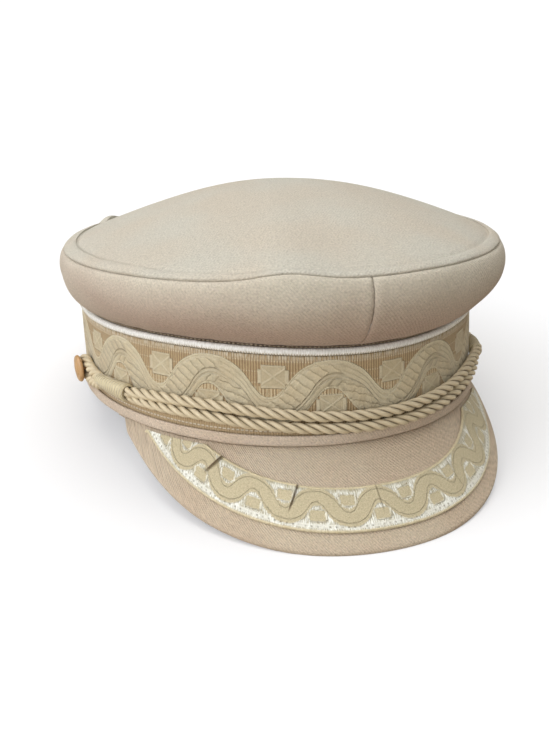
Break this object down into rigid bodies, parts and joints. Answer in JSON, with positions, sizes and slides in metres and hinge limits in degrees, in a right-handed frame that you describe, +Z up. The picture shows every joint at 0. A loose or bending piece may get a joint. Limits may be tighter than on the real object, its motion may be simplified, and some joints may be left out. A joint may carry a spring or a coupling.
{
  "type": "skipper cap",
  "caption": "Soft skipper cap with a domed top, a band dressed in patterned ribbon, a sloping ribboned peak and a double cord held by side buttons.",
  "frame": {"origin": "middle of the cap's outline, on the surface that it rests on", "axes": "+Z up, front of the cap towards -Y, wearer's right hand side towards -X; left and right in piece names are those of someone who looks at the cap's front"},
  "size_m": [0.1966, 0.2488, 0.1014],
  "materials": {
    "cap_twill": "matte beige cotton twill",
    "band_ribbon": "woven ribbon, khaki cream pattern on a ribbed bronze ground",
    "satin": "glossy white satin",
    "peak_ribbon": "woven ribbon, cream pattern on a silvery white ground",
    "cord": "twisted cord with a soft silky shine",
    "button": "satin tan"
  },
  "bodies": {
    "root": {"crown_top": "cap_twill", "crown_side_left": "cap_twill", "crown_side_right": "cap_twill", "crown_piping": "cap_twill", "band": "cap_twill", "band_ribbon": "band_ribbon", "satin_edge": "satin", "band_binding": "cap_twill", "peak": "cap_twill", "peak_ribbon": "peak_ribbon", "cord_upper": "cord", "cord_lower": "cord", "cord_sleeve_left": "cord", "cord_sleeve_right": "cord", "cord_loop_left": "cord", "cord_loop_right": "cord", "button_left": "button", "button_right": "button"}
  },
  "joints": []
}
